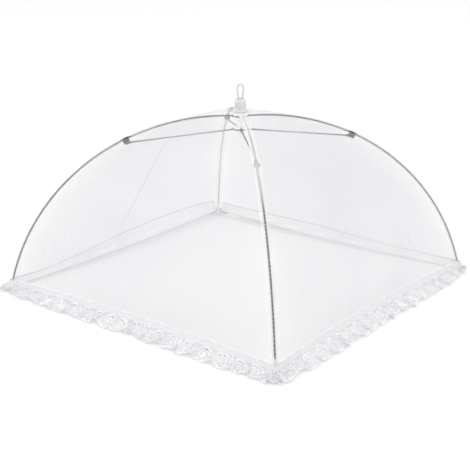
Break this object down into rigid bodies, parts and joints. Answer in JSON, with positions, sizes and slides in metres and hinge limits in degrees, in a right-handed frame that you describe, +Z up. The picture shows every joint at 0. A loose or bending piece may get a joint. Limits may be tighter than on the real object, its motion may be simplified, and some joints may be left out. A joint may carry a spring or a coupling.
{
  "type": "folding mesh food cover",
  "caption": "Square net dome on folding wire ribs with a crown hub, locking runner, lace hem and pull loop, to keep insects off food.",
  "frame": {"origin": "on the table, midway between the four feet, under the crown hub", "axes": "+Z up along the crown hub's axis, +X and +Y square to two sides of the hem"},
  "size_m": [0.4458, 0.4458, 0.247],
  "materials": {
    "white_plastic": "moulded white plastic",
    "spring_steel": "bare drawn steel wire and sheet",
    "white_net": "fine white polyester net",
    "white_tape": "white woven binding tape",
    "white_lace": "white knitted lace",
    "white_cord": "thin white braided cord"
  },
  "bodies": {
    "runner": {"runner_hub": "white_plastic", "runner_ring": "spring_steel"},
    "crown": {"crown_hub": "white_plastic", "crown_ring": "spring_steel", "top_cap": "white_plastic", "pull_loop": "white_cord", "net_gore_front_left": "white_net", "net_gore_front_right": "white_net", "net_gore_back_right": "white_net", "net_gore_back_left": "white_net", "hem_tape_front_left": "white_tape", "hem_tape_front_right": "white_tape", "hem_tape_back_right": "white_tape", "hem_tape_back_left": "white_tape", "lace_trim_front_left": "white_lace", "lace_trim_front_right": "white_lace", "lace_trim_back_right": "white_lace", "lace_trim_back_left": "white_lace", "seam_band_front": "white_tape", "seam_band_right": "white_tape", "seam_band_back": "white_tape", "seam_band_left": "white_tape"},
    "rib_front": {"rib_front": "spring_steel", "clip_front": "spring_steel", "corner_pocket_front": "white_tape"},
    "rib_right": {"rib_right": "spring_steel", "clip_right": "spring_steel", "corner_pocket_right": "white_tape"},
    "rib_back": {"rib_back": "spring_steel", "clip_back": "spring_steel", "corner_pocket_back": "white_tape"},
    "rib_left": {"rib_left": "spring_steel", "clip_left": "spring_steel", "corner_pocket_left": "white_tape"},
    "strut_front": {"strut_front": "spring_steel", "rivet_front": "spring_steel"},
    "strut_right": {"strut_right": "spring_steel", "rivet_right": "spring_steel"},
    "strut_back": {"strut_back": "spring_steel", "rivet_back": "spring_steel"},
    "strut_left": {"strut_left": "spring_steel", "rivet_left": "spring_steel"}
  },
  "joints": [
    {"name": "crown_slide", "type": "slide", "parent": "runner", "child": "crown", "axis": [0, 0, 1], "range_m": [0, 0.2117], "deforming": ["net_gore_front_left", "net_gore_front_right", "net_gore_back_right", "net_gore_back_left", "hem_tape_front_left", "hem_tape_front_right", "hem_tape_back_right", "hem_tape_back_left", "lace_trim_front_left", "lace_trim_front_right", "lace_trim_back_right", "lace_trim_back_left", "seam_band_front", "seam_band_right", "seam_band_back", "seam_band_left"]},
    {"name": "rib_front_fold", "type": "hinge", "parent": "crown", "child": "rib_front", "pos_m": [0.00495, -0.00495, 0.20841], "axis": [0.7071, 0.7071, 0], "range_deg": [0, 48]},
    {"name": "rib_right_fold", "type": "hinge", "parent": "crown", "child": "rib_right", "pos_m": [0.00495, 0.00495, 0.20841], "axis": [-0.7071, 0.7071, 0], "range_deg": [0, 48]},
    {"name": "rib_back_fold", "type": "hinge", "parent": "crown", "child": "rib_back", "pos_m": [-0.00495, 0.00495, 0.20841], "axis": [-0.7071, -0.7071, 0], "range_deg": [0, 48]},
    {"name": "rib_left_fold", "type": "hinge", "parent": "crown", "child": "rib_left", "pos_m": [-0.00495, -0.00495, 0.20841], "axis": [0.7071, -0.7071, 0], "range_deg": [0, 48]},
    {"name": "strut_front_swing", "type": "hinge", "parent": "runner", "child": "strut_front", "pos_m": [0.00495, -0.00495, 0.19231], "axis": [-0.7071, -0.7071, 0], "range_deg": [0, 65.15]},
    {"name": "strut_right_swing", "type": "hinge", "parent": "runner", "child": "strut_right", "pos_m": [0.00495, 0.00495, 0.19231], "axis": [0.7071, -0.7071, 0], "range_deg": [0, 65.15]},
    {"name": "strut_back_swing", "type": "hinge", "parent": "runner", "child": "strut_back", "pos_m": [-0.00495, 0.00495, 0.19231], "axis": [0.7071, 0.7071, 0], "range_deg": [0, 65.15]},
    {"name": "strut_left_swing", "type": "hinge", "parent": "runner", "child": "strut_left", "pos_m": [-0.00495, -0.00495, 0.19231], "axis": [-0.7071, 0.7071, 0], "range_deg": [0, 65.15]}
  ],
  "couplings": [
    {"joint": "rib_front_fold", "follows": "crown_slide", "rad_per_m": 3.9572},
    {"joint": "rib_right_fold", "follows": "crown_slide", "rad_per_m": 3.9572},
    {"joint": "rib_back_fold", "follows": "crown_slide", "rad_per_m": 3.9572},
    {"joint": "rib_left_fold", "follows": "crown_slide", "rad_per_m": 3.9572},
    {"joint": "strut_front_swing", "follows": "crown_slide", "rad_per_m": 5.3709},
    {"joint": "strut_right_swing", "follows": "crown_slide", "rad_per_m": 5.3709},
    {"joint": "strut_back_swing", "follows": "crown_slide", "rad_per_m": 5.3709},
    {"joint": "strut_left_swing", "follows": "crown_slide", "rad_per_m": 5.3709}
  ]
}
